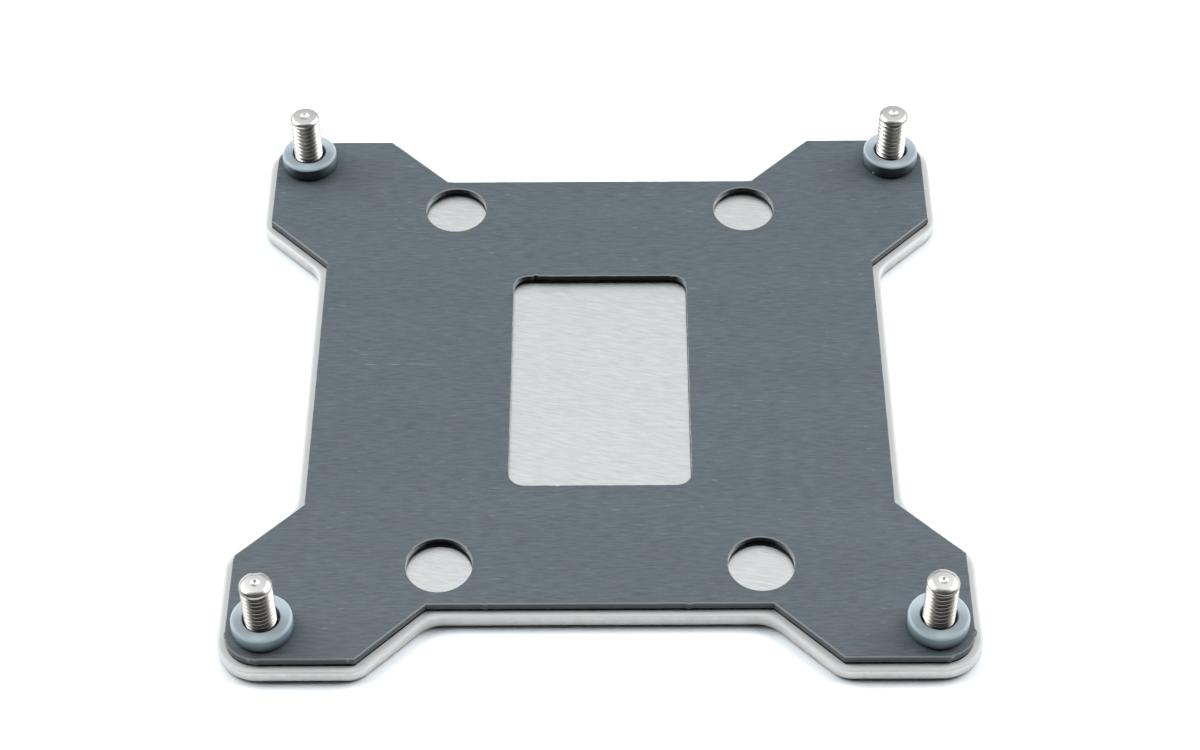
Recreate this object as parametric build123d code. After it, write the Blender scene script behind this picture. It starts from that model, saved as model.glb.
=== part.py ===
from build123d import *
import os
from math import cos, radians, sin, tan

# Millimetres, +Z up. The origin is the centre of the steel plate's underside.
# The plate lies flat, its studs point up, and the tall window runs along Y.

# Stud pattern
stud_pitch_x = 80.0
stud_pitch_y = 80.0

# Flush-head press-in stud, M4 by 12, held by a knurled collar. The thread is rolled on a thinner
# rod, which stays bare as a neck where the stud passes through the sheet and the washer.
thread_diameter = 3.9
neck_step = 0.2
stud_length = 12.2
tip_chamfer_width = 0.65
tip_chamfer_height = 0.6
dimple_diameter = 1.3
dimple_depth = 0.2
head_overhang = 1.0
head_thickness = 0.8
head_edge_break = 0.12
knurl_root_step = 0.2
knurl_tooth_height = 0.3
knurl_tooth_count = 12

# Spacer washer, loose round each stud
washer_clearance = 0.3
washer_wall = 1.45
washer_thickness = 2.2
washer_edge_break = 0.2

# Insulating sheet: a square body with an arm at each corner that carries the washer
sheet_thickness = 0.95
sheet_past_washer = 0.75
sheet_corner_radius = 4.0
arm_side_length = 15.6
bay_depth = 8.05
flare_angle = 45.0
stud_hole_clearance = 0.35

# Windows through the sheet and its tape
window_width = 22.8
window_length = 36.2
window_corner_radius = 2.0
round_window_diameter = 8.2
round_window_spacing = 39.0
round_window_rim = 1.6

# Double-sided tape between sheet and plate
tape_thickness = 0.25

# Steel plate: it shows all round the sheet, its top edge rolled down by the blanking
plate_thickness = 2.0
plate_margin = 1.05
plate_outer_radius = 3.5
plate_inner_radius = 4.5
plate_roll_width = 0.55
plate_roll_drop = 0.25
plate_bottom_break = 0.4

# Levels, radii and places that follow from the sizes above
tape_bottom = plate_thickness
sheet_bottom = tape_bottom + tape_thickness
washer_bottom = sheet_bottom + sheet_thickness
thread_bottom = washer_bottom + washer_thickness
thread_radius = thread_diameter / 2
neck_radius = thread_radius - neck_step
head_radius = thread_radius + head_overhang
knurl_root_radius = thread_radius + knurl_root_step
stud_hole_radius = thread_radius + stud_hole_clearance
washer_bore_radius = thread_radius + washer_clearance
washer_radius = washer_bore_radius + washer_wall
arm_reach_x = stud_pitch_x / 2 + washer_radius + sheet_past_washer
arm_reach_y = stud_pitch_y / 2 + washer_radius + sheet_past_washer
round_window_radius = round_window_diameter / 2
plate_roll_radius = (plate_roll_width**2 + plate_roll_drop**2) / (2 * plate_roll_drop)
round_window_y = arm_reach_y - bay_depth - round_window_rim - round_window_radius

corner_names = {
    "front_left": (-1, -1),
    "front_right": (1, -1),
    "back_left": (-1, 1),
    "back_right": (1, 1),
}


def stud_spot(corner):
    """Return the X and Y of the stud at a named corner."""
    side_x, side_y = corner_names[corner]
    return side_x * stud_pitch_x / 2, side_y * stud_pitch_y / 2


def arm_outline(offset, tip_radius, outer_radius, inner_radius):
    """Return the four-armed face, moved outwards by an offset, with its corners rounded."""
    reach_x = arm_reach_x + offset
    reach_y = arm_reach_y + offset
    corner_shift = offset * tan(radians(flare_angle / 2))
    arm_side = arm_side_length + offset + corner_shift
    flare_run = bay_depth / tan(radians(flare_angle))
    tip = [(reach_x, reach_y)]
    outer = [(reach_x, reach_y - arm_side), (reach_x - arm_side, reach_y)]
    inner = [
        (reach_x - bay_depth, reach_y - arm_side - flare_run),
        (reach_x - arm_side - flare_run, reach_y - bay_depth),
    ]
    first = [inner[0], outer[0], tip[0], outer[1], inner[1]]
    second = mirrored(first, -1, 1)
    third = mirrored(first, -1, -1)
    fourth = mirrored(first, 1, -1)
    face = make_face(Polyline(*first, *second[::-1], *third, *fourth[::-1], close=True))
    for spots, radius in ((tip, tip_radius), (outer, outer_radius), (inner, inner_radius)):
        if radius > 0:
            face = fillet(corners_at(face, spots), radius)
    return face


def mirrored(points, side_x, side_y):
    """Return points flipped across the middle lines where a side is -1."""
    return [(side_x * x, side_y * y) for x, y in points]


def corners_at(face, spots):
    """Return the face's corners that lie at these spots, in all four quarters."""
    wanted = {(round(x, 3), round(y, 3)) for x, y in spots}
    return [v for v in face.vertices() if (round(abs(v.X), 3), round(abs(v.Y), 3)) in wanted]


def sheet_profile():
    """Return the die-cut face that the sheet and the tape share."""
    window = RectangleRounded(window_width, window_length, window_corner_radius)
    round_window = Circle(round_window_radius)
    round_windows = GridLocations(round_window_spacing, 2 * round_window_y, 2, 2) * round_window
    stud_holes = GridLocations(stud_pitch_x, stud_pitch_y, 2, 2) * Circle(stud_hole_radius)
    outline = arm_outline(0, sheet_corner_radius, 0, 0)
    return outline - window - round_windows - stud_holes


def plate_profile(spread):
    """Return the plate's outer face, moved outwards by a spread that keeps its arcs concentric."""
    tip_radius = sheet_corner_radius + plate_margin + spread
    outer_radius = plate_outer_radius + spread
    inner_radius = plate_inner_radius - spread
    return arm_outline(plate_margin + spread, tip_radius, outer_radius, inner_radius)


def turned(points):
    """Return the solid that a half section makes when it turns round the Z axis."""
    return revolve(make_face(Plane.XZ * Polyline(*points, close=True)), Axis.Z)


def knurled_collar():
    """Return the toothed collar between the stud's head and the plate's top."""
    points = []
    for tooth in range(knurl_tooth_count):
        root_angle = 360 * tooth / knurl_tooth_count
        crest_angle = root_angle + 180 / knurl_tooth_count
        points.append((knurl_root_radius, root_angle))
        points.append((knurl_root_radius + knurl_tooth_height, crest_angle))
    corners = [(r * cos(radians(angle)), r * sin(radians(angle))) for r, angle in points]
    star = make_face(Polyline(*corners, close=True))
    return Pos(0, 0, head_thickness) * extrude(star, plate_thickness - head_thickness)


def stud():
    """Return one stud on the Z axis, its head flush with the plate's underside."""
    section = [
        (0, 0),
        (head_radius - head_edge_break, 0),
        (head_radius, head_edge_break),
        (head_radius, head_thickness),
        (neck_radius, head_thickness),
        (neck_radius, thread_bottom - neck_step),
        (thread_radius, thread_bottom),
        (thread_radius, stud_length - tip_chamfer_height),
        (thread_radius - tip_chamfer_width, stud_length),
        (dimple_diameter / 2, stud_length),
        (0, stud_length - dimple_depth),
    ]
    return turned(section) + knurled_collar()


def stud_seat():
    """Return the space that one stud fills in the plate, where the steel closes round it."""
    head = Cylinder(head_radius, head_thickness, align=(Align.CENTER, Align.CENTER, Align.MIN))
    return head + knurled_collar()


def steel_plate():
    """Return the blanked plate: rolled top edge, broken lower edge and four stud seats."""
    dome = extrude(plate_profile(plate_roll_radius - plate_roll_width), plate_thickness)
    dome = fillet(dome.faces().sort_by(Axis.Z)[-1].outer_wire().edges(), plate_roll_radius)
    plate = extrude(plate_profile(0), plate_thickness) & dome
    plate = chamfer(plate.faces().sort_by(Axis.Z)[0].outer_wire().edges(), plate_bottom_break)
    seat = stud_seat()
    for corner in corner_names:
        plate = plate - Pos(*stud_spot(corner), 0) * seat
    return plate


def tape_layer():
    """Return the double-sided tape, cut to the sheet's own outline."""
    return Pos(0, 0, tape_bottom) * extrude(sheet_profile(), tape_thickness)


def insulating_sheet():
    """Return the plastic sheet that keeps the plate off the board."""
    return Pos(0, 0, sheet_bottom) * extrude(sheet_profile(), sheet_thickness)


def spacer_washer():
    """Return one washer on the Z axis, resting on the sheet."""
    section = [
        (washer_bore_radius, washer_bottom),
        (washer_radius, washer_bottom),
        (washer_radius, thread_bottom - washer_edge_break),
        (washer_radius - washer_edge_break, thread_bottom),
        (washer_bore_radius, thread_bottom),
    ]
    return turned(section)


def save(name, shape, color):
    """Write one piece to its own file."""
    piece = Solid(shape.solid().wrapped)
    piece.label = name
    piece.color = Color(*color)
    export_step(piece, "parts/" + name + ".step")


steel_color = (0.80, 0.80, 0.79)
tape_color = (0.03, 0.03, 0.03)
sheet_color = (0.35, 0.39, 0.42)
washer_color = (0.48, 0.54, 0.58)

os.makedirs("parts", exist_ok=True)
save("steel_plate", steel_plate(), steel_color)
save("adhesive_tape", tape_layer(), tape_color)
save("insulating_sheet", insulating_sheet(), sheet_color)
for corner in corner_names:
    spot = Pos(*stud_spot(corner), 0)
    save("stud_" + corner, spot * stud(), steel_color)
    save("washer_" + corner, spot * spacer_washer(), washer_color)
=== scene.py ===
import math

import bpy
from mathutils import Matrix, Vector, noise
from mathutils.geometry import tessellate_polygon


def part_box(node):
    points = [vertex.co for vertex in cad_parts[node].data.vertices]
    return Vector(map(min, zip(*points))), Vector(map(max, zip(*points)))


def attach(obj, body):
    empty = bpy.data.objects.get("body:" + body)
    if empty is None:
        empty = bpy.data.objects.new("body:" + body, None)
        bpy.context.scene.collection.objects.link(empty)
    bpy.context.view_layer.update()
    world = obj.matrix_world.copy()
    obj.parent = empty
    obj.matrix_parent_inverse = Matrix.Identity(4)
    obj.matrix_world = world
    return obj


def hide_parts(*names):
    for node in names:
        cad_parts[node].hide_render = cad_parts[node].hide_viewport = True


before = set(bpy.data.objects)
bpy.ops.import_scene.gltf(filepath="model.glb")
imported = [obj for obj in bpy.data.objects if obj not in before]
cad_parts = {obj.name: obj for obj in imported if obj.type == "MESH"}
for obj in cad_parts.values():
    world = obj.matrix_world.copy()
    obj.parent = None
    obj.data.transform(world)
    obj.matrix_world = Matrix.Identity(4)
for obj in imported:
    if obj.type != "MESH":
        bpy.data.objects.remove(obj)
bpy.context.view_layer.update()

mm = 0.001
print("backplate: frame loaded")

# places that the pieces share, measured from the frame; lengths are in millimetres, the studio's in metres
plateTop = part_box("steel_plate")[1].z / mm
sheetBottom, sheetTop = (corner.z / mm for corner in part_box("insulating_sheet"))
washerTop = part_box("washer_front_left")[1].z / mm
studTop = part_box("stud_front_left")[1].z / mm
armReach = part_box("insulating_sheet")[1].x / mm
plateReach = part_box("steel_plate")[1].x / mm
cornerNames = ("front_left", "front_right", "back_left", "back_right")


def middleOf(node):
    low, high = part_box(node)
    return (low.x + high.x) / 2 / mm, (low.y + high.y) / 2 / mm


def inMetres(lengths):
    return [length * mm for length in lengths]


# mesh helpers

def circlePoints(middle, radius, steps, clockwise=False):
    turn = -1 if clockwise else 1
    angles = [turn * 2 * math.pi * i / steps for i in range(steps)]
    return [(middle[0] + radius * math.cos(a), middle[1] + radius * math.sin(a)) for a in angles]


def roundCorner(before, corner, after, radius, steps):
    # points on the arc that rounds one corner of an outline
    if radius <= 0:
        return [tuple(corner)]
    toBefore = (before - corner).normalized()
    toAfter = (after - corner).normalized()
    half = toBefore.angle(toAfter) / 2
    middle = corner + (toBefore + toAfter).normalized() * (radius / math.sin(half))
    start = corner + toBefore * (radius / math.tan(half)) - middle
    sweep = math.pi - 2 * half
    if toBefore.x * toAfter.y - toBefore.y * toAfter.x > 0:
        sweep = -sweep
    points = []
    for i in range(steps + 1):
        angle = sweep * i / steps
        x = start.x * math.cos(angle) - start.y * math.sin(angle)
        y = start.x * math.sin(angle) + start.y * math.cos(angle)
        points.append((middle.x + x, middle.y + y))
    return points


def ringAt(points, z):
    return [(x, y, z) for x, y in points]


def roundedSteps(width, depth, steps):
    # a quarter turn from the wall to the flat: (inset, drop) pairs, wall end first
    turns = [math.pi / 2 * i / steps for i in range(steps + 1)]
    return [(width * (1 - math.cos(t)), depth * (1 - math.sin(t))) for t in turns]


def stackRings(verts, faces, rings):
    # rings of equal length, each a list of (x, y, z), joined one above the other
    count = len(rings[0])
    base = len(verts)
    for ring in rings:
        verts.extend(ring)
    for level in range(len(rings) - 1):
        low = base + level * count
        for i in range(count):
            j = (i + 1) % count
            faces.append((low + i, low + j, low + count + j, low + count + i))
    return base, base + (len(rings) - 1) * count


def capLoops(verts, faces, starts, counts, up):
    # one flat cap over an outer loop and its holes
    sliver = 1e-12
    loops = [[Vector(verts[start + i]) for i in range(count)] for start, count in zip(starts, counts)]
    index = [start + i for start, count in zip(starts, counts) for i in range(count)]
    for triangle in tessellate_polygon(loops):
        a, b, c = (index[k] for k in triangle)
        pointA, pointB, pointC = (Vector(verts[k]) for k in (a, b, c))
        area = (pointB - pointA).cross(pointC - pointA).z
        if abs(area) >= sliver:
            faces.append((a, b, c) if (area > 0) == up else (a, c, b))


def cappedLoops(loops):
    # stacks the rings of the outline and of each hole, then closes bottom and top with a flat cap
    verts, faces, bottoms, tops, counts = [], [], [], [], []
    for rings in loops:
        low, high = stackRings(verts, faces, rings)
        bottoms.append(low)
        tops.append(high)
        counts.append(len(rings[0]))
    capLoops(verts, faces, bottoms, counts, False)
    capLoops(verts, faces, tops, counts, True)
    return verts, faces


def makePiece(name, verts, faces, material, slotName, node):
    # millimetre points become a smooth mesh piece that stands for one CAD node
    mesh = bpy.data.meshes.new(name)
    mesh.from_pydata([(x * mm, y * mm, z * mm) for x, y, z in verts], [], faces)
    mesh.validate()
    mesh.polygons.foreach_set("use_smooth", [True] * len(mesh.polygons))
    piece = bpy.data.objects.new(name, mesh)
    bpy.context.collection.objects.link(piece)
    mesh.materials.append(material)
    weighted = piece.modifiers.new("faceWeights", "WEIGHTED_NORMAL")
    weighted.weight = 100    # the largest faces alone decide how a corner is shaded
    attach(piece, "root")
    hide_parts(node)


# material helpers

class Nodes:
    # builds a node tree; inputs are given by name, with _ for a space, or by number as i0, i1 ...
    def __init__(self, owner):
        self.tree = owner.node_tree
        self.tree.nodes.clear()

    def add(self, kind, settings=None, **inputs):
        node = self.tree.nodes.new(kind)
        for key, value in (settings or {}).items():
            setattr(node, key, value)
        for key, value in inputs.items():
            self.plug(node, key, value)
        return node

    def plug(self, node, key, value):
        byNumber = key[0] == "i" and key[1:].isdigit()
        socket = node.inputs[int(key[1:]) if byNumber else key.replace("_", " ")]
        if isinstance(value, bpy.types.NodeSocket):
            self.tree.links.new(value, socket)
        else:
            socket.default_value = value

    def maths(self, operation, a, b=0.0):
        return self.add("ShaderNodeMath", {"operation": operation}, i0=a, i1=b).outputs[0]

    def unsigned(self, value):
        return self.maths("ABSOLUTE", value)

    def times(self, a, b):
        # a product, which also tells where two yes-or-no values both hold
        return self.maths("MULTIPLY", a, b)

    def between(self, share, a, b):
        # the number a where the share is 0, b where it is 1
        return self.add("ShaderNodeMix", None, i0=share, i2=a, i3=b).outputs[0]

    def spread(self, value, low, high, first=0.0, last=1.0, curve="LINEAR"):
        # first up to low, last from high on, and a steady change in between
        return self.add("ShaderNodeMapRange", {"interpolation_type": curve},
                        i0=value, i1=low, i2=high, i3=first, i4=last).outputs[0]

    def total(self, *patterns):
        # the sum of patterns, each given with its share
        result = 0.0
        for pattern, share in patterns:
            result = self.maths("ADD", result, self.times(pattern, share))
        return result

    def mixColor(self, share, a, b, kind="MIX"):
        node = self.add("ShaderNodeMix", {"data_type": "RGBA", "blend_type": kind}, i0=share, i6=a, i7=b)
        return node.outputs[2]

    def dimmed(self, color, level):
        grey = self.add("ShaderNodeCombineColor", None, i0=level, i1=level, i2=level).outputs[0]
        return self.mixColor(1.0, color, grey, "MULTIPLY")

    def point(self):
        return self.add("ShaderNodeTexCoord").outputs["Object"]

    def parts(self, vector):
        # the X, Y and Z of a vector
        return self.add("ShaderNodeSeparateXYZ", None, Vector=vector).outputs

    def facing(self, kind):
        # which way the surface faces: "Normal" is the smooth one, "True Normal" each face's own
        return self.add("ShaderNodeNewGeometry").outputs[kind]

    def distance(self, spot):
        return self.add("ShaderNodeVectorMath", {"operation": "DISTANCE"},
                        i0=self.point(), i1=spot).outputs["Value"]

    def reach(self, place):
        # how far out a point lies, along X or Y, whichever is more
        return self.maths("MAXIMUM", self.unsigned(place["X"]), self.unsigned(place["Y"]))

    def pattern(self, scale, turn=0.0, detail=3, rough=0.5, wave=0.0, shift=(0, 0, 0)):
        # noise in cycles per metre, stretched along a direction that is turned this far from X
        place = self.point()
        if turn != 0:
            place = self.add("ShaderNodeVectorRotate", {"rotation_type": "Z_AXIS"}, Vector=place,
                             Angle=math.radians(-turn)).outputs[0]
        mapped = self.add("ShaderNodeMapping", None, Vector=place, Location=shift, Scale=scale)
        return self.add("ShaderNodeTexNoise", {"noise_dimensions": "3D"}, Vector=mapped.outputs[0],
                        Scale=1.0, Detail=detail, Roughness=rough, Distortion=wave).outputs["Fac"]

    def bumps(self, height, strength, depth):
        return self.add("ShaderNodeBump", None, Strength=strength, Distance=depth * mm,
                        Height=height).outputs[0]

    def finish(self, shader):
        self.add("ShaderNodeOutputMaterial", None, Surface=shader.outputs[0])


def newMaterial(name):
    material = bpy.data.materials.new(name)
    material.use_nodes = True
    return material, Nodes(material)


# the four-armed outline that the plate and the sheet share

arms = {
    "side": 15.6,             # length of an arm's straight side
    "bayDepth": 8.05,         # how far the bays between the arms reach in
    "tipRound": 4.0,
}


def armedOutline(spread, tipRound, outerRound, innerRound, arcSteps):
    # anticlockwise, moved outwards by a spread; the arms' roots slant at 45 degrees
    halfSlant = math.radians(45 / 2)
    reach = armReach + spread
    side = arms["side"] + spread + spread * math.tan(halfSlant)
    depth = arms["bayDepth"]
    quarter = [
        ((reach - depth, reach - side - depth), innerRound),
        ((reach, reach - side), outerRound),
        ((reach, reach), tipRound),
        ((reach - side, reach), outerRound),
        ((reach - side - depth, reach - depth), innerRound),
    ]
    corners = []
    for sideX, sideY in ((1, 1), (-1, 1), (-1, -1), (1, -1)):
        part = [(Vector((sideX * x, sideY * y)), radius) for (x, y), radius in quarter]
        corners += part if sideX * sideY > 0 else part[::-1]
    points = []
    for i, (corner, radius) in enumerate(corners):
        before = corners[i - 1][0]
        after = corners[(i + 1) % len(corners)][0]
        points += roundCorner(before, corner, after, radius, arcSteps)
    return points


# the blanked plate, of steel that is brushed on its faces and tumbled on its rim

# a "...Tilt" is how far a face looks up or down, 1 is flat
# a "...Range" is where a change starts and ends, then the levels there unless they are 0 and 1
plate = {
    "margin": plateReach - armReach,
    "outerRound": 3.5,
    "innerRound": 4.5,
    "arcSteps": 14,
    "rollWidth": 0.42,
    "rollDepth": 0.15,
    "rollStart": 50,          # degrees along the roll's quarter turn at which it leaves the wall
    "rollCorner": (0.004, 0.006),    # width and depth of the small corner there
    "rollSteps": 8,
    "lowerRound": 0.64,
    "lowerSteps": 6,
    "headRadius": 2.95,       # the seat that each stud is pressed into
    "headDepth": 0.8,
    "headBreak": 0.06,
    "collarRadius": 2.45,
    "seatSteps": 72,
    "light": (0.965, 0.98, 0.97, 1),       # the brushed faces
    "dark": (0.76, 0.775, 0.765, 1),
    "roughness": 0.38,
    "brushed": 0.80,          # how much rougher the faces are across the brush strokes
    "strokes": {"scale": (430, 4300, 900), "turn": -12.5, "detail": 2, "rough": 0.7, "wave": 0.1},
    "broad": {"scale": (60, 200, 200), "turn": -12.5, "detail": 2, "rough": 0.5, "wave": 0.3},
    "strokeShare": 0.94,
    "broadShare": 0.06,
    "strokeRange": (0.28, 0.72),
    "flatTilt": 0.97,         # a face this flat is a brushed one
    "tumbled": {"scale": (900, 900, 900), "rough": 0.6},
    "tumbledRange": (0.35, 0.7, 0.15, 1.0),
    "bump": 0.35,
    "bumpDepth": 0.01,
    "rimFrom": 35.7,          # the tumbled rim starts this far from the middle, under the sheet
    "rimLight": (0.96, 0.975, 0.968, 1),
    "rimDark": (0.87, 0.885, 0.876, 1),
    "rimRoughness": 0.70,
    "bayShade": 0.88,         # the wall between two arms gets less light than the arms' ends
    "bayRange": (38.5, 44.0),
    "footShade": (0.85, 1.04),       # and the foot of the wall less than its top
    "footRange": (0.5, 1.8),
    "rollTilt": (0.25, 0.5),  # the rolled edge takes over from the wall
    "rollSlopeHighlight": (0.95, 0.97, 0.965, 1),   # painted highlight on the rolled edge where it slopes
    "rollRunOutShade": (0.78, 0.80, 0.795, 1),    # and painted shade where it runs out flat
    "runOutShadeTilt": (0.78, 0.96),
    "rollMetal": 0.10,        # how metallic the rolled edge looks, against 1 on the wall
    "rollRoughness": 0.50,
}


def rolledSteps(width, depth):
    # the rolled edge: it leaves the wall at a small corner, already sloping, and runs out flat
    first = math.radians(plate["rollStart"])
    steps = plate["rollSteps"]
    turns = [first + (math.pi / 2 - first) * i / steps for i in range(steps + 1)]
    across, down = width / math.cos(first), depth / (1 - math.sin(first))
    arc = [(width - across * math.cos(t), down * (1 - math.sin(t))) for t in turns]
    cornerIn, cornerDown = plate["rollCorner"]
    return [(0.0, depth + cornerDown), (cornerIn, arc[0][1])] + arc[1:]


def buildPlate(material):
    lower = roundedSteps(plate["lowerRound"], plate["lowerRound"], plate["lowerSteps"])
    rolled = rolledSteps(plate["rollWidth"], plate["rollDepth"])
    levels = lower[::-1] + [(inset, plateTop - drop) for inset, drop in rolled]
    outer = []
    for inset, z in levels:
        points = armedOutline(plate["margin"] - inset, arms["tipRound"] + plate["margin"] - inset,
                              plate["outerRound"] - inset, plate["innerRound"] + inset, plate["arcSteps"])
        outer.append(ringAt(points, z))
    head, collar, depth = plate["headRadius"], plate["collarRadius"], plate["headDepth"]
    seat = [(head + plate["headBreak"], 0.0), (head, plate["headBreak"]), (head, depth),
            (collar, depth), (collar, plateTop)]
    loops = [outer]
    for corner in cornerNames:
        spot = middleOf("stud_" + corner)
        steps = plate["seatSteps"]
        loops.append([ringAt(circlePoints(spot, radius, steps, True), z) for radius, z in seat])
    makePiece("blankedPlate", *cappedLoops(loops), material, "steel", "steel_plate")


def steelMaterial():
    material, nodes = newMaterial("brushedSteel")
    strokes = nodes.pattern(**plate["strokes"])
    broad = nodes.pattern(**plate["broad"])
    tumbled = nodes.pattern(**plate["tumbled"])
    normal = nodes.facing("Normal")
    tilt = nodes.parts(normal)
    place = nodes.parts(nodes.point())
    reach = nodes.reach(place)

    # the flat faces are brushed, the rim all round is tumbled
    underSheet = nodes.maths("LESS_THAN", reach, plate["rimFrom"] * mm)
    underneath = nodes.maths("LESS_THAN", tilt["Z"], 0.0)
    level = nodes.maths("GREATER_THAN", nodes.unsigned(tilt["Z"]), plate["flatTilt"])
    flat = nodes.times(level, nodes.maths("MAXIMUM", underSheet, underneath))
    brushed = nodes.total((strokes, plate["strokeShare"]), (broad, plate["broadShare"]))
    tone = nodes.between(flat, nodes.spread(tumbled, *plate["tumbledRange"]),
                         nodes.spread(brushed, *plate["strokeRange"]))
    rimColor = nodes.mixColor(tone, plate["rimDark"], plate["rimLight"])
    color = nodes.mixColor(flat, rimColor, nodes.mixColor(tone, plate["dark"], plate["light"]))

    bay = nodes.spread(reach, *inMetres(plate["bayRange"]), plate["bayShade"], 1.0)
    foot = nodes.spread(place["Z"], *inMetres(plate["footRange"]), *plate["footShade"])
    color = nodes.dimmed(color, nodes.between(flat, nodes.times(bay, foot), 1.0))

    # painted light on the rolled edge: paler where it slopes, darker where it runs out flat
    outside = nodes.maths("SUBTRACT", 1.0, underSheet)
    rolled = nodes.times(nodes.spread(tilt["Z"], *plate["rollTilt"]), outside)
    runOut = nodes.spread(tilt["Z"], *plate["runOutShadeTilt"])
    color = nodes.mixColor(rolled, color, nodes.mixColor(runOut, plate["rollSlopeHighlight"], plate["rollRunOutShade"]))
    metal = nodes.between(rolled, 1.0, plate["rollMetal"])
    rimRough = nodes.between(rolled, plate["rimRoughness"], plate["rollRoughness"])
    rough = nodes.between(flat, rimRough, plate["roughness"])
    bump = nodes.bumps(nodes.between(flat, tumbled, strokes), plate["bump"], plate["bumpDepth"])
    across = nodes.add("ShaderNodeVectorMath", {"operation": "CROSS_PRODUCT"}, i0=normal, i1=(1, 0, 0))
    nodes.finish(nodes.add("ShaderNodeBsdfPrincipled", None, Base_Color=color, Metallic=metal,
                           Roughness=rough, Anisotropic=nodes.times(flat, plate["brushed"]),
                           Tangent=across.outputs[0], Normal=bump))
    return material


buildPlate(steelMaterial())
print("backplate: plate made")


# black double-sided tape: the CAD layer with its own finish

tape = {
    "color": (0.012, 0.012, 0.013, 1),
    "worn": (0.03, 0.03, 0.032, 1),
    "side": (0.16, 0.165, 0.17, 1),   # painted light: the tape's cut walls that face left or right, paler as if lit
    "sideRange": (0.70, 0.95),        # how far such a cut faces left or right
    "cells": {"scale": (5000, 5000, 5000), "rough": 0.6},
    "cellRange": (0.4, 0.75),
    "roughness": 0.75,
    "gloss": 0.1,
    "bump": 0.5,
    "bumpDepth": 0.03,
}


def tapeMaterial():
    material, nodes = newMaterial("foamTape")
    cells = nodes.pattern(**tape["cells"])
    color = nodes.mixColor(nodes.spread(cells, *tape["cellRange"]), tape["color"], tape["worn"])
    tilt = nodes.parts(nodes.facing("True Normal"))
    # painted light: the tape's walls that face left or right are paler
    color = nodes.mixColor(nodes.spread(nodes.unsigned(tilt["X"]), *tape["sideRange"]), color, tape["side"])
    bump = nodes.bumps(cells, tape["bump"], tape["bumpDepth"])
    nodes.finish(nodes.add("ShaderNodeBsdfPrincipled", None, Base_Color=color, Normal=bump,
                           Roughness=tape["roughness"], Specular_IOR_Level=tape["gloss"]))
    return material


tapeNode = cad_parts["adhesive_tape"]
tapeNode.data.materials.clear()
tapeNode.data.materials.append(tapeMaterial())
print("backplate: tape dressed")


# grey insulating sheet

sheet = {
    "light": (0.128, 0.162, 0.184, 1),
    "dark": (0.0635, 0.088, 0.1035, 1),
    "edge": (0.28, 0.315, 0.335, 1),         # painted highlight on the rounded edge where it faces the front
    "wall": (0.112, 0.128, 0.139, 1),
    # painted shade: the windows' walls are near black
    "windowWall": (0.02, 0.024, 0.028, 1),
    "windowSide": (0.34, 0.375, 0.395, 1),   # painted light on the windows' walls and rounded edges that face left or right
    "burr": (0.38, 0.41, 0.43, 1),
    "speck": (0.22, 0.26, 0.285, 1),
    "roughness": (0.36, 0.48),
    "roughnessRange": (0.3, 0.7),
    "streaks": {"scale": (480, 4200, 900), "turn": -0.5, "detail": 4, "rough": 0.62, "wave": 0.05},
    "bands": {"scale": (14, 160, 50), "turn": -0.5, "detail": 3, "rough": 0.55, "wave": 0.1},
    "grain": {"scale": (2600, 5200, 3000), "detail": 2, "rough": 0.6},
    "streakShare": 0.72,
    "bandShare": 0.18,
    "grainShare": 0.10,
    "toneRange": (0.33, 0.68),
    "specks": {"scale": (520, 3400, 2100), "detail": 1, "rough": 0.4, "shift": (3, 7, 1)},
    "speckRange": (0.73, 0.79, 0.0, 0.6),
    "bump": 0.25,
    "bumpDepth": 0.02,
    "edgeRound": 0.18,
    "edgeSteps": 4,
    "edgeTilt": 0.2,          # the rounded edge begins where the wall has turned up this much
    "frontTilt": -0.12,       # and faces the front from here on
    "sideTilt": 0.62,         # or the window's left or right
    "sideRange": (0.40, 0.90),
    "footBreak": (0.03, 0.05),       # width and height of the small break at the wall's foot
    "tipSteps": 16,
    "windowShift": (0.06, 0.19),     # how far the window was punched off the middle
    "windowHalf": (11.40, 18.05),
    "windowRound": 2.0,
    "windowSteps": 10,
    "roundWindow": 4.05,
    "roundWindowSteps": 96,
    "roundWindowSpots": ((-19.44, -30.39), (19.56, -30.37), (-19.44, 30.88), (19.56, 30.88)),
    "windowsWithin": 35.6,    # all windows lie this near the middle, along X and along Y
    "studHole": 2.3,
    "studHoleSteps": 48,
    # the steel-rule die: a slightly wandering cut, with small steps where its blades meet
    "cutStep": 0.14,          # spacing of points along a cut edge
    "outlineCut": (0.018, 1.5),      # how far the cut wanders, and a seed
    "windowCut": (0.035, 4.5),
    "roundWindowCut": (0.012, 10),
    "studHoleCut": (0.01, 20),
    "cutWaves": ((0.8, 1.0, 0), (3.1, 0.6, 7)),   # cycles per mm, share and seed step of the wander
    "nickPower": 0.7,
    "nicks": (                # place, width and how far the edge stands out
        ((-44.45, -40.6), 0.28, 0.16), ((-40.5, -44.45), 0.28, 0.12), ((-44.45, -29.0), 0.3, -0.14),
        ((-13.7, -36.4), 0.35, 0.10), ((10.7, -36.4), 0.35, 0.12), ((41.2, -44.45), 0.3, 0.14),
        ((44.45, -40.6), 0.35, 0.26), ((-8.5, 18.23), 0.45, -0.24), ((9.6, 18.23), 0.3, 0.12),
        ((-5.2, -17.87), 0.3, -0.12), ((40.6, 44.45), 0.3, 0.10), ((44.45, 28.8), 0.3, 0.12),
    ),
    # wear: a broken scratch along X, and pale torn spots on the cut edge
    "scratchFrom": -35.6,
    "scratchTo": -20.6,
    "scratchAlong": 2.5,
    "scratchWidth": 0.1,
    "dashes": {"scale": (330, 1, 1), "detail": 1, "rough": 0.5, "shift": (5, 0, 0)},
    "dashRange": (0.46, 0.56, 0.0, 0.5),
    "burrs": ((-41.35, -44.4, 0.24), (41.6, -44.4, 0.26), (-44.4, -40.6, 0.2),    # X, Y and radius
              (-29.6, -44.4, 0.2), (26.5, -40.3, 0.18)),
    "burrDrop": 0.2,          # below the sheet's top
}


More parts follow.
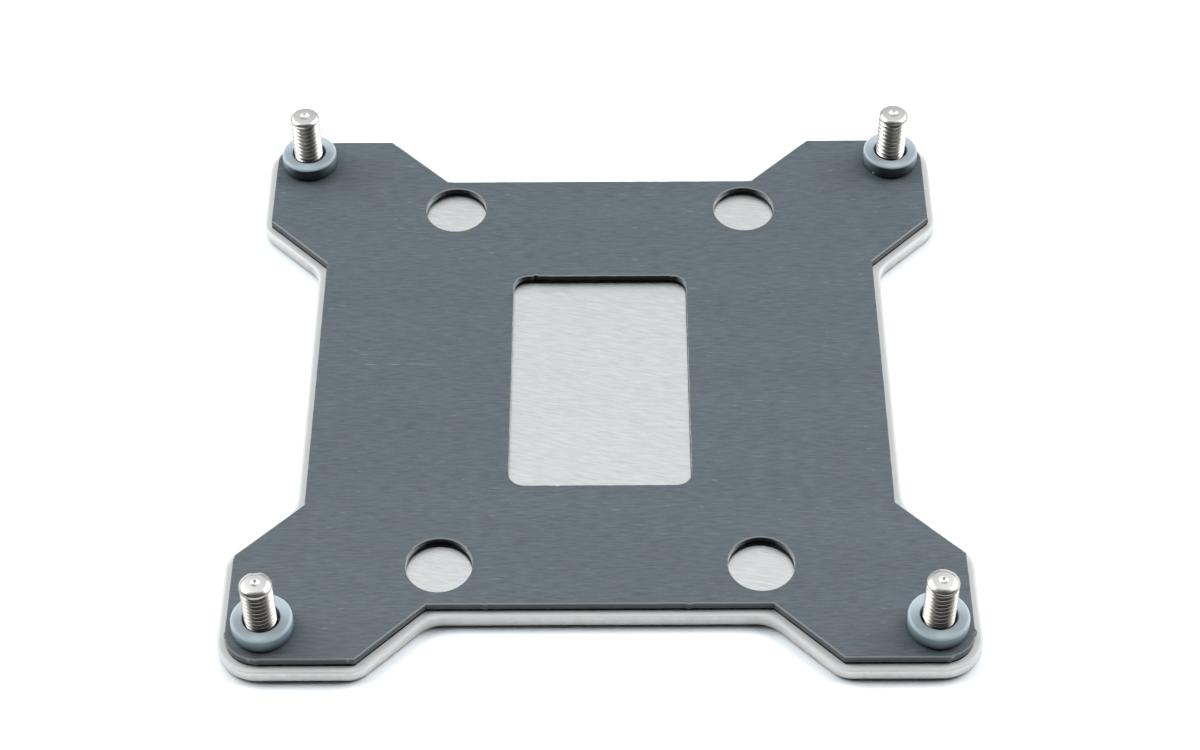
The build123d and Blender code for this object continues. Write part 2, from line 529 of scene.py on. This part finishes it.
def cutEdge(points, rough, seed):
    # more points along a loop, and the wander and nicks that the die gives each of them
    dense = []
    for i, (x, y) in enumerate(points):
        nextX, nextY = points[(i + 1) % len(points)]
        run = math.hypot(nextX - x, nextY - y)
        pieces = max(1, round(run / sheet["cutStep"]))
        for k in range(pieces):
            dense.append((x + (nextX - x) * k / pieces, y + (nextY - y) * k / pieces))
    wander = []
    for i, (x, y) in enumerate(dense):
        beforeX, beforeY = dense[i - 1]
        afterX, afterY = dense[(i + 1) % len(dense)]
        out = Vector((afterY - beforeY, beforeX - afterX))
        out = out.normalized() if out.length > 0 else Vector((0, 0))
        push = 0.0
        for cycles, share, seedStep in sheet["cutWaves"]:
            push += share * rough * noise.noise(Vector((x * cycles, y * cycles, seed + seedStep)))
        for (nickX, nickY), width, rise in sheet["nicks"]:
            away = math.hypot(x - nickX, y - nickY) / width
            if away < 1:
                push += rise * (1 - away) ** sheet["nickPower"]
        wander.append((out.x * push, out.y * push))
    return dense, wander


def insetLoop(points, inset):
    # moves a closed loop to its left, which is into the material
    sharpest = 0.35          # keeps a corner's mitre from running away
    moved = []
    for i, (x, y) in enumerate(points):
        before = Vector(points[i]) - Vector(points[i - 1])
        after = Vector(points[(i + 1) % len(points)]) - Vector(points[i])
        a = Vector((-before.y, before.x)).normalized()
        b = Vector((-after.y, after.x)).normalized()
        mitre = (a + b).normalized()
        mitre *= inset / max(sharpest, mitre.dot(a))
        moved.append((x + mitre.x, y + mitre.y))
    return moved


def roundedRectangle(halfX, halfY, radius, steps):
    corners = [Vector(p) for p in ((halfX, -halfY), (halfX, halfY), (-halfX, halfY), (-halfX, -halfY))]
    points = []
    for i, corner in enumerate(corners):
        points += roundCorner(corners[i - 1], corner, corners[(i + 1) % len(corners)], radius, steps)
    return points


def buildSheet(material):
    cuts = [(armedOutline(0, arms["tipRound"], 0, 0, sheet["tipSteps"]), *sheet["outlineCut"])]
    shiftX, shiftY = sheet["windowShift"]
    window = roundedRectangle(*sheet["windowHalf"], sheet["windowRound"], sheet["windowSteps"])
    window = [(x + shiftX, y + shiftY) for x, y in window]
    cuts.append((window[::-1], *sheet["windowCut"]))
    rough, seed = sheet["roundWindowCut"]
    for k, spot in enumerate(sheet["roundWindowSpots"]):
        circle = circlePoints(spot, sheet["roundWindow"], sheet["roundWindowSteps"], True)
        cuts.append((circle, rough, seed + k))
    rough, seed = sheet["studHoleCut"]
    for k, corner in enumerate(cornerNames):
        circle = circlePoints(middleOf("stud_" + corner), sheet["studHole"], sheet["studHoleSteps"], True)
        cuts.append((circle, rough, seed + k))

    edge = sheet["edgeRound"]
    footIn, footUp = sheet["footBreak"]
    levels = [(footIn, sheetBottom), (0.0, sheetBottom + footUp)]
    levels += [(inset, sheetTop - drop) for inset, drop in roundedSteps(edge, edge, sheet["edgeSteps"])]
    loops = []
    for points, rough, seed in cuts:
        dense, wander = cutEdge(points, rough, seed)
        rings = []
        for inset, z in levels:
            moved = insetLoop(dense, inset)
            rings.append([(x + dx, y + dy, z) for (x, y), (dx, dy) in zip(moved, wander)])
        loops.append(rings)
    makePiece("dieCutSheet", *cappedLoops(loops), material, "sheet", "insulating_sheet")


def sheetMaterial():
    material, nodes = newMaterial("greySheet")
    streaks = nodes.pattern(**sheet["streaks"])
    bands = nodes.pattern(**sheet["bands"])
    grain = nodes.pattern(**sheet["grain"])
    tone = nodes.total((streaks, sheet["streakShare"]), (bands, sheet["bandShare"]),
                       (grain, sheet["grainShare"]))
    color = nodes.mixColor(nodes.spread(tone, *sheet["toneRange"]), sheet["dark"], sheet["light"])
    specks = nodes.spread(nodes.pattern(**sheet["specks"]), *sheet["speckRange"])
    color = nodes.mixColor(specks, color, sheet["speck"])

    # the rounded edge and the walls, with painted highlights where they face the front or the window's left
    # or right, and painted shade on the windows' other walls
    tilt = nodes.parts(nodes.facing("True Normal"))
    place = nodes.parts(nodes.point())
    inWindow = nodes.maths("LESS_THAN", nodes.reach(place), sheet["windowsWithin"] * mm)
    rounded = nodes.maths("GREATER_THAN", tilt["Z"], sheet["edgeTilt"])
    # painted highlight on the rounded edge that faces the front
    frontEdge = nodes.times(rounded, nodes.maths("LESS_THAN", tilt["Y"], sheet["frontTilt"]))
    color = nodes.mixColor(frontEdge, color, sheet["edge"])
    sideways = nodes.unsigned(tilt["X"])
    windowEdge = nodes.maths("GREATER_THAN", nodes.times(sideways, inWindow), sheet["sideTilt"])
    color = nodes.mixColor(nodes.times(rounded, windowEdge), color, sheet["windowSide"])
    windowWall = nodes.mixColor(nodes.spread(sideways, *sheet["sideRange"]),
                                sheet["windowWall"], sheet["windowSide"])
    wall = nodes.mixColor(inWindow, sheet["wall"], windowWall)
    color = nodes.mixColor(nodes.maths("LESS_THAN", tilt["Z"], sheet["edgeTilt"]), color, wall)

    # the scratch and the burrs
    offLine = nodes.unsigned(nodes.maths("SUBTRACT", place["Y"], sheet["scratchAlong"] * mm))
    scratch = nodes.maths("LESS_THAN", offLine, nodes.times(streaks, sheet["scratchWidth"] * mm))
    scratch = nodes.times(scratch, nodes.maths("GREATER_THAN", place["X"], sheet["scratchFrom"] * mm))
    scratch = nodes.times(scratch, nodes.maths("LESS_THAN", place["X"], sheet["scratchTo"] * mm))
    dashes = nodes.spread(nodes.pattern(**sheet["dashes"]), *sheet["dashRange"])
    color = nodes.mixColor(nodes.times(scratch, dashes), color, sheet["burr"])
    torn = 0.0
    for spotX, spotY, radius in sheet["burrs"]:
        away = nodes.distance(inMetres((spotX, spotY, sheetTop - sheet["burrDrop"])))
        torn = nodes.maths("MAXIMUM", torn, nodes.maths("LESS_THAN", away, radius * mm))
    color = nodes.mixColor(torn, color, sheet["burr"])

    rough = nodes.spread(streaks, *sheet["roughnessRange"], *sheet["roughness"])
    bump = nodes.bumps(streaks, sheet["bump"], sheet["bumpDepth"])
    nodes.finish(nodes.add("ShaderNodeBsdfPrincipled", None, Base_Color=color, Roughness=rough,
                           Normal=bump))
    return material


buildSheet(sheetMaterial())
print("backplate: sheet made")


# spacer washers, loose round the studs

washer = {
    "color": (0.50, 0.605, 0.655, 1),
    "deep": (0.45, 0.55, 0.60, 1),
    "cloud": {"scale": (260, 260, 260)},
    "cloudRange": (0.3, 0.7),
    "lip": 1.28,              # painted highlight: how much paler the rounded lip is than the top
    "lipTilt": (0.1, 0.5),    # from the side to the lip
    "topTilt": (0.8, 0.99),   # and from the lip to the top
    "wall": (0.66, 0.11),     # painted shade: how dark the side is against the top, on the front and back washers
    "cheek": (0.95, 0.72),    # the same where the side faces left or right, paler there as painted light
    "cheekRange": (0.40, 0.95),
    "frontToBack": (-37.0, 37.0),
    "foot": 0.05,             # and at the foot of the side, a painted shadow
    "fullBelow": 0.5,         # the side reaches its full level this far below the top
    # a bluish tint on the painted shade of the side
    "sideTint": (0.89, 1.0, 1.06, 1),
    "sideTilt": 0.4,
    "roughness": 0.40,
    "grain": {"scale": (4200, 4200, 4200), "detail": 2},
    "bump": 0.15,
    "bumpDepth": 0.02,
    "speck": (37.62, 37.42, 3.52),   # a pale speck on the back right washer's side
    "speckRange": (0.14, 0.30, 0.9, 0.0),
    "dust": (0.80, 0.83, 0.85, 1),
    "slack": (0.05, 0.18),    # how far the loose washers lie off their studs' middle
    "bore": 2.24,
    "radius": 3.7,
    "topRound": 0.42,
    "topSteps": 7,
    "lowRound": 0.36,
    "boreRound": 0.14,
    "lowSteps": 4,            # for the lower and the bore's rounds
    "boreBreak": 0.05,
    "dish": 0.02,             # how far the top sinks halfway between bore and lip
    "steps": 128,
}


def washerMaterial():
    material, nodes = newMaterial("washerPlastic")
    cloud = nodes.spread(nodes.pattern(**washer["cloud"]), *washer["cloudRange"])
    color = nodes.mixColor(cloud, washer["deep"], washer["color"])
    tilt = nodes.parts(nodes.facing("Normal"))
    place = nodes.parts(nodes.point())
    # painted shade and light: the side darker than the top, most on the back washers and at the foot, paler
    # where it faces left or right, and the lip paler than the top
    frontToBack = inMetres(washer["frontToBack"])
    wall = nodes.spread(place["Y"], *frontToBack, *washer["wall"])
    cheek = nodes.spread(place["Y"], *frontToBack, *washer["cheek"])
    wall = nodes.between(nodes.spread(nodes.unsigned(tilt["X"]), *washer["cheekRange"]), wall, cheek)
    height = inMetres((sheetTop, washerTop - washer["fullBelow"]))
    side = nodes.spread(place["Z"], *height, washer["foot"], wall)
    lip = nodes.spread(tilt["Z"], *washer["lipTilt"], side, washer["lip"])
    color = nodes.dimmed(color, nodes.spread(tilt["Z"], *washer["topTilt"], lip, 1.0))
    onSide = nodes.maths("LESS_THAN", tilt["Z"], washer["sideTilt"])
    color = nodes.mixColor(onSide, color, nodes.mixColor(1.0, color, washer["sideTint"], "MULTIPLY"))
    nearest, farthest, most, least = washer["speckRange"]
    away = nodes.distance(inMetres(washer["speck"]))
    speck = nodes.spread(away, nearest * mm, farthest * mm, most, least)
    color = nodes.mixColor(speck, color, washer["dust"])
    bump = nodes.bumps(nodes.pattern(**washer["grain"]), washer["bump"], washer["bumpDepth"])
    nodes.finish(nodes.add("ShaderNodeBsdfPrincipled", None, Base_Color=color, Normal=bump,
                           Roughness=washer["roughness"]))
    return material


def washerProfile():
    # half a section as (radius, height), anticlockwise from the bore's foot and back to it
    bottom, top = sheetTop, washerTop
    outer, bore, boreBreak = washer["radius"], washer["bore"], washer["boreBreak"]
    low = roundedSteps(washer["lowRound"], washer["lowRound"], washer["lowSteps"])[:-1]
    lip = roundedSteps(washer["topRound"], washer["topRound"], washer["topSteps"])
    mouth = roundedSteps(washer["boreRound"], washer["boreRound"], washer["lowSteps"])
    profile = [(bore + boreBreak, bottom), (outer - washer["lowRound"], bottom)]
    profile += [(outer - inset, bottom + drop) for inset, drop in reversed(low)]
    profile += [(outer - inset, top - drop) for inset, drop in lip]
    profile += [((outer + bore) / 2, top - washer["dish"])]
    profile += [(bore + inset, top - drop) for inset, drop in reversed(mouth)]
    return profile + [(bore, bottom + boreBreak), (bore + boreBreak, bottom)]


def buildWasher(corner, material):
    spot = [at + slack for at, slack in zip(middleOf("washer_" + corner), washer["slack"])]
    rings = [ringAt(circlePoints(spot, radius, washer["steps"]), z) for radius, z in washerProfile()]
    verts, faces = [], []
    stackRings(verts, faces, rings)
    makePiece("spacer_" + corner, verts, faces, material, "washer", "washer_" + corner)


washerFinish = washerMaterial()
for corner in cornerNames:
    buildWasher(corner, washerFinish)
print("backplate: washers made")


# press-in studs with their thread

stud = {
    "light": (0.82, 0.805, 0.775, 1),
    "dark": (0.70, 0.685, 0.655, 1),
    # painted shade: the thread's colours on the front studs and in the grooves are darker
    "frontGroove": (0.32, 0.31, 0.285, 1),
    "frontCrest": (0.56, 0.545, 0.515, 1),
    "backGroove": (0.41, 0.395, 0.365, 1),
    "grooveRange": (0.02, 0.16),     # depth below the crest at which the groove's painted shade comes in
    "tip": (0.60, 0.60, 0.59, 1),
    "wear": {"scale": (1500, 1500, 2600), "detail": 4, "rough": 0.6},
    "rings": {"scale": (300, 300, 9000), "rough": 0.6},
    "wearShare": 0.7,
    "ringShare": 0.3,
    "toneRange": (0.35, 0.65),
    "lowShade": 0.45,         # painted shade: how much darker the thread's front is where it leaves the washer
    "lowRange": (-0.2, 1.2),  # from this far above the washer's top to that far
    "sideRange": (0.12, 0.45),       # and how far its sides, which the painted shade spares, face left or right
    "roughness": (0.26, 0.38),
    "roughnessRange": (0.3, 0.7),
    "grooveRoughness": 0.34,
    "tipRoughness": 0.42,
    "bump": 0.3,
    "bumpDepth": 0.01,
    "steps": 128,
    "rise": 0.028,            # height of one row of the thread's mesh
    "fineRows": 3,            # the rows are this many times closer near the top
    "fineBelow": 0.25,
    "lastGap": 0.004,         # the rows stop this far below the flat tip
    "pitch": 0.7,
    "crest": 1.95,
    "root": 1.62,
    "neck": 1.75,
    "threadFrom": 4.60,
    "runOut": 4.65,           # the thread fades in from this level
    "rootFull": 5.55,         # and its root and crest are full from these on
    "crestFull": 5.2,
    "fadeBelow": (0.95, 0.35),       # it fades out between these depths below the top
    "flank": (0.36, 0.90),    # a straight flank: 0 is the middle of the root, 1 that of the crest
    "softFlank": (0.30, 0.96),
    "softShare": 0.15,
    "bevelRound": 1.35,       # 1 is a plain cone, 2 is a quarter round
    "bevelBelow": 0.5,        # the bevel's finish reaches this far below the top
    "dome": 0.05,
    "domeSlack": 0.02,        # the tip's finish begins this far below the dome's foot
    "flatRings": (1.0, 0.92, 0.8, 0.65, 0.5),
    "dimpleRings": (1.12, 1.0, 0.9, 0.75, 0.6, 0.45, 0.3, 0.15, 0.02),
    "dimpleDepth": 0.24,
    "hollowReach": 0.60,      # the dimple's bright finish reaches this far from the axis
    "nickDepth": 0.22,
    "nickRange": (0.10, 0.34),       # radians to each side
    "nickBelow": (0.75, 0.35),
    "knurlRoot": 2.15,
    "knurlTooth": 0.3,
    "knurlCount": 12,
    "head": ((0.02, 0.015), (2.42, 0.015), (2.80, 0.015), (2.884, 0.05),    # radius and height
             (2.92, 0.14), (2.92, 0.8)),
    # each stud: where its thread starts, the radius of its flat tip, the bevel's height,
    # the dimple's radius and how hollow it is, and the angle of a dent in the bevel
    "ends": {
        "front_left": {"start": 0.30, "flat": 1.26, "shoulder": 0.44, "dimple": 0.56, "hollow": 1.0,
                       "nick": 96},
        "front_right": {"start": 0.55, "flat": 1.26, "shoulder": 0.44, "dimple": 0.56, "hollow": 1.0},
        "back_left": {"start": 0.10, "flat": 1.50, "shoulder": 0.34, "dimple": 0.66, "hollow": 1.6},
        "back_right": {"start": 0.80, "flat": 1.48, "shoulder": 0.34, "dimple": 0.66, "hollow": 1.6},
    },
}


def steady(low, high, value):
    # how far a value is on its way from low to high, 0 to 1
    return min(1.0, max(0.0, (value - low) / (high - low)))


def smooth(low, high, value):
    t = steady(low, high, value)
    return t * t * (3 - 2 * t)


def threadRadius(angle, z, start):
    # right-hand thread with flat crests and roots, and flanks that are a little softened
    phase = (z / stud["pitch"] - angle / (2 * math.pi) + start) % 1.0
    rise = abs(phase - 0.5) * 2
    straight, soft = steady(*stud["flank"], rise), smooth(*stud["softFlank"], rise)
    flank = straight + (soft - straight) * stud["softShare"]
    neck = stud["neck"]
    fadeLow, fadeHigh = stud["fadeBelow"]
    low = neck + (stud["root"] - neck) * smooth(stud["runOut"], stud["rootFull"], z)
    high = neck + (stud["crest"] - neck) * smooth(stud["runOut"], stud["crestFull"], z)
    low += (high - low) * smooth(studTop - fadeLow, studTop - fadeHigh, z)
    return low + (high - low) * flank


def tipRadius(z, end):
    # the bevelled end, from the flat tip down to the thread's crest
    drop = studTop - stud["dome"] - z
    if drop >= end["shoulder"]:
        return stud["crest"]
    t = max(0.0, drop) / end["shoulder"]
    power = stud["bevelRound"]
    return end["flat"] + (stud["crest"] - end["flat"]) * max(0.0, 1 - (1 - t) ** power) ** (1 / power)


def nickDepth(angle, z, end):
    # a small dent in the bevel, at one angle round the stud
    if "nick" not in end:
        return 0.0
    away = abs((angle - math.radians(end["nick"]) + math.pi) % (2 * math.pi) - math.pi)
    fadeLow, fadeHigh = stud["nickBelow"]
    fade = smooth(studTop - fadeLow, studTop - fadeHigh, z)
    return stud["nickDepth"] * (1 - smooth(*stud["nickRange"], away)) * fade


def buildStud(corner, material, end):
    spot = middleOf("stud_" + corner)
    steps = stud["steps"]
    rings = []

    def addRing(radiusAt, z):
        ring = []
        for i in range(steps):
            angle = 2 * math.pi * i / steps
            radius = radiusAt(angle)
            ring.append((spot[0] + radius * math.cos(angle), spot[1] + radius * math.sin(angle), z))
        rings.append(ring)

    def knurl(angle):
        tooth = (angle * stud["knurlCount"] / (2 * math.pi)) % 1.0
        return stud["knurlRoot"] + stud["knurlTooth"] * (1 - abs(2 * tooth - 1))

    def shank(angle):
        return min(threadRadius(angle, z, end["start"]), tipRadius(z, end)) - nickDepth(angle, z, end)

    # head, knurled collar from the head's top up, and bare neck
    for radius, z in stud["head"]:
        addRing(lambda angle: radius, z)
    addRing(knurl, z)
    addRing(knurl, plateTop)
    addRing(lambda angle: stud["neck"], plateTop)
    # thread and bevel
    z = stud["threadFrom"]
    while z < studTop - stud["dome"] - stud["lastGap"]:
        addRing(shank, z)
        z += stud["rise"] if z < studTop - stud["fineBelow"] else stud["rise"] / stud["fineRows"]
    # slightly domed tip and its dimple
    radii = [end["flat"] * share for share in stud["flatRings"]]
    radii += [end["dimple"] * share for share in stud["dimpleRings"]]
    for radius in radii:
        sink = stud["dimpleDepth"] * max(0.0, 1 - (radius / end["dimple"]) ** end["hollow"])
        addRing(lambda angle: radius, studTop - stud["dome"] * (radius / end["flat"]) ** 2 - sink)
    verts, faces = [], []
    low, high = stackRings(verts, faces, rings)
    faces.append(tuple(low + steps - 1 - i for i in range(steps)))
    faces.append(tuple(high + i for i in range(steps)))
    makePiece("threaded_" + corner, verts, faces, material, "stud", "stud_" + corner)


def studMaterial():
    material, nodes = newMaterial("nickelStud")
    wear = nodes.pattern(**stud["wear"])
    rings = nodes.pattern(**stud["rings"])
    tone = nodes.total((wear, stud["wearShare"]), (rings, stud["ringShare"]))
    color = nodes.mixColor(nodes.spread(tone, *stud["toneRange"]), stud["dark"], stud["light"])

    # distance from the nearest stud's axis; the four studs mirror each other
    place = nodes.parts(nodes.point())
    spotX, spotY = (abs(at) * mm for at in middleOf("stud_front_left"))
    across = nodes.maths("SUBTRACT", nodes.unsigned(place["X"]), spotX)
    along = nodes.maths("SUBTRACT", nodes.unsigned(place["Y"]), spotY)
    squares = nodes.maths("ADD", nodes.times(across, across), nodes.times(along, along))
    fromAxis = nodes.maths("SQRT", squares)

    # painted shade: the thread is darker on the front studs, in its grooves and on its front where it
    # leaves the washer
    belowTip = nodes.maths("LESS_THAN", place["Z"], (studTop - stud["bevelBelow"]) * mm)
    onHead = nodes.maths("LESS_THAN", place["Z"], plateTop * mm)
    onThread = nodes.maths("SUBTRACT", belowTip, onHead)
    depths = inMetres(stud["crest"] - depth for depth in stud["grooveRange"])
    groove = nodes.times(nodes.spread(fromAxis, *depths, curve="SMOOTHSTEP"), onThread)
    atFront = nodes.maths("LESS_THAN", place["Y"], 0.0)
    color = nodes.mixColor(nodes.times(atFront, onThread), color, stud["frontCrest"])
    color = nodes.mixColor(groove, color, nodes.mixColor(atFront, stud["backGroove"], stud["frontGroove"]))
    heights = inMetres(washerTop + height for height in stud["lowRange"])
    low = nodes.spread(place["Z"], *heights, stud["lowShade"], 1.0)
    sideways = nodes.spread(nodes.unsigned(nodes.parts(nodes.facing("Normal"))["X"]), *stud["sideRange"])
    color = nodes.dimmed(color, nodes.between(nodes.maths("MAXIMUM", sideways, onHead), low, 1.0))

    # the flat tip and the dimple's finish
    onTip = nodes.maths("GREATER_THAN", place["Z"], (studTop - stud["dome"] - stud["domeSlack"]) * mm)
    onFlat = nodes.times(onTip, nodes.maths("GREATER_THAN", fromAxis, stud["hollowReach"] * mm))
    color = nodes.mixColor(onFlat, color, stud["tip"])
    rough = nodes.spread(wear, *stud["roughnessRange"], *stud["roughness"])
    rough = nodes.between(groove, rough, stud["grooveRoughness"])
    rough = nodes.between(onTip, rough, stud["tipRoughness"])
    bump = nodes.bumps(wear, stud["bump"], stud["bumpDepth"])
    nodes.finish(nodes.add("ShaderNodeBsdfPrincipled", None, Base_Color=color, Metallic=1.0,
                           Roughness=rough, Normal=bump))
    return material


studFinish = studMaterial()
for corner in cornerNames:
    buildStud(corner, studFinish, stud["ends"][corner])
print("backplate: studs made")


# table, light and camera, in metres

studio = {
    "tableHalf": 3.0,
    "tableDrop": 0.00002,     # the table lies this far below the plate
    "tableColor": (0.72, 0.74, 0.76, 1),   # the table as it lights the pieces
    "tableDim": (0.20, 0.21, 0.22, 1),     # and after two bounces
    "tableSeen": (1.37, 1.45, 1.50, 1),    # the table as the camera sees it
    "tableFar": (2.60, 2.66, 2.70, 1),     # and where it runs off into the distance
    "farRange": (0.35, 1.0),
    "tableGloss": (1.12, 1.14, 1.16, 1),   # the table as shiny pieces see it
    "worldHeight": (0.43, 0.95),           # from here up the world gets brighter,
    "worldRise": (0.30, 1.10),             # from this level to that
    "worldSides": (0.18, 0.55),            # and from here out to the sides,
    "worldSpread": (1.22, 1.40),           # by these factors
    "frontEdge": (0.12, -0.05),            # the dark front begins and is full here
    "worldFront": 0.015,                   # and has this level
    "worldSeen": (1.0, 1.0, 1.0, 1),       # behind the table, as the camera sees it
    "worldTint": (0.97, 0.99, 1.0, 1),
    "frontTint": (0.92, 0.97, 1.0, 1),
    "boxSpot": (0.63, 0.24, 0.63),         # a soft box at each side, aimed at the middle
    "boxSize": (0.66, 0.46),
    "boxPower": 4.7,
    "boxTint": (1.0, 0.99, 0.98),
}


def buildTable():
    half = studio["tableHalf"]
    z = -studio["tableDrop"]
    mesh = bpy.data.meshes.new("whiteTable")
    corners = [(-half, -half, z), (half, -half, z), (half, half, z), (-half, half, z)]
    mesh.from_pydata(corners, [], [(0, 1, 2, 3)])
    table = bpy.data.objects.new("whiteTable", mesh)
    bpy.context.collection.objects.link(table)
    material, nodes = newMaterial("tableTop")
    light = nodes.add("ShaderNodeLightPath").outputs
    gloss = nodes.maths("MAXIMUM", light["Is Glossy Ray"], light["Is Transmission Ray"])
    noBounce = nodes.maths("LESS_THAN", light["Diffuse Depth"], 0.5)
    shiny = nodes.mixColor(noBounce, studio["tableDim"], studio["tableGloss"])
    color = nodes.mixColor(gloss, studio["tableColor"], shiny)
    far = nodes.spread(nodes.distance((0, 0, 0)), *studio["farRange"])
    seen = nodes.mixColor(far, studio["tableSeen"], studio["tableFar"])
    color = nodes.mixColor(light["Is Camera Ray"], color, seen)
    nodes.finish(nodes.add("ShaderNodeBsdfDiffuse", None, Color=color))
    mesh.materials.append(material)


def buildWorld():
    world = bpy.data.worlds.new("whiteStudio")
    bpy.context.scene.world = world
    world.use_nodes = True
    nodes = Nodes(world)
    way = nodes.parts(nodes.add("ShaderNodeTexCoord").outputs["Generated"])
    front = nodes.spread(way["Y"], *studio["frontEdge"], curve="SMOOTHSTEP")
    side = nodes.spread(nodes.unsigned(way["X"]), *studio["worldSides"], *studio["worldSpread"],
                        "SMOOTHSTEP")
    rise = nodes.spread(way["Z"], *studio["worldHeight"], *studio["worldRise"])
    seen = nodes.add("ShaderNodeLightPath").outputs["Is Camera Ray"]
    color = nodes.mixColor(front, studio["worldTint"], studio["frontTint"])
    color = nodes.mixColor(seen, color, studio["worldSeen"])
    level = nodes.between(front, nodes.times(rise, side), studio["worldFront"])
    back = nodes.add("ShaderNodeBackground", None, Color=color, Strength=nodes.between(seen, level, 1.0))
    nodes.add("ShaderNodeOutputWorld", None, Surface=back.outputs[0])


def buildSoftBox(name, side):
    data = bpy.data.lights.new(name, "AREA")
    data.shape = "RECTANGLE"
    data.size, data.size_y = studio["boxSize"]
    data.energy = studio["boxPower"]
    data.color = studio["boxTint"]
    lamp = bpy.data.objects.new(name, data)
    bpy.context.collection.objects.link(lamp)
    x, y, z = studio["boxSpot"]
    spot = Vector((side * x, y, z))
    lamp.location = spot
    lamp.rotation_euler = (-spot).to_track_quat("-Z", "Y").to_euler()


cameraView = {
    "elevation": 47.841,      # degrees
    "azimuth": 0.361,
    "roll": -0.524,
    "distance": 0.349774,
    "target": (0.000061, 0.000299, 0.0034),
    "lens": 81.738,
    "sensor": 36.0,
    "clipStart": 0.01,
}


def buildCamera():
    elevation, azimuth, roll = (math.radians(cameraView[key]) for key in ("elevation", "azimuth", "roll"))
    level = math.cos(elevation)
    back = Vector((math.sin(azimuth) * level, -math.cos(azimuth) * level, math.sin(elevation)))
    right = (-back).cross(Vector((0, 0, 1))).normalized()
    up = right.cross(-back)
    turnedRight = math.cos(roll) * right + math.sin(roll) * up
    turnedUp = -math.sin(roll) * right + math.cos(roll) * up
    data = bpy.data.cameras.new("photoCamera")
    data.sensor_width = cameraView["sensor"]
    data.lens = cameraView["lens"]
    data.clip_start = cameraView["clipStart"]
    camera = bpy.data.objects.new("photoCamera", data)
    bpy.context.collection.objects.link(camera)
    turn = Matrix((turnedRight, turnedUp, back)).transposed().to_4x4()
    place = Matrix.Translation(Vector(cameraView["target"]) + back * cameraView["distance"])
    camera.matrix_world = place @ turn
    bpy.context.scene.camera = camera


buildTable()
buildWorld()
buildSoftBox("leftBox", -1)
buildSoftBox("rightBox", 1)
buildCamera()
bpy.context.scene.view_settings.view_transform = "Standard"
print("backplate: studio set")
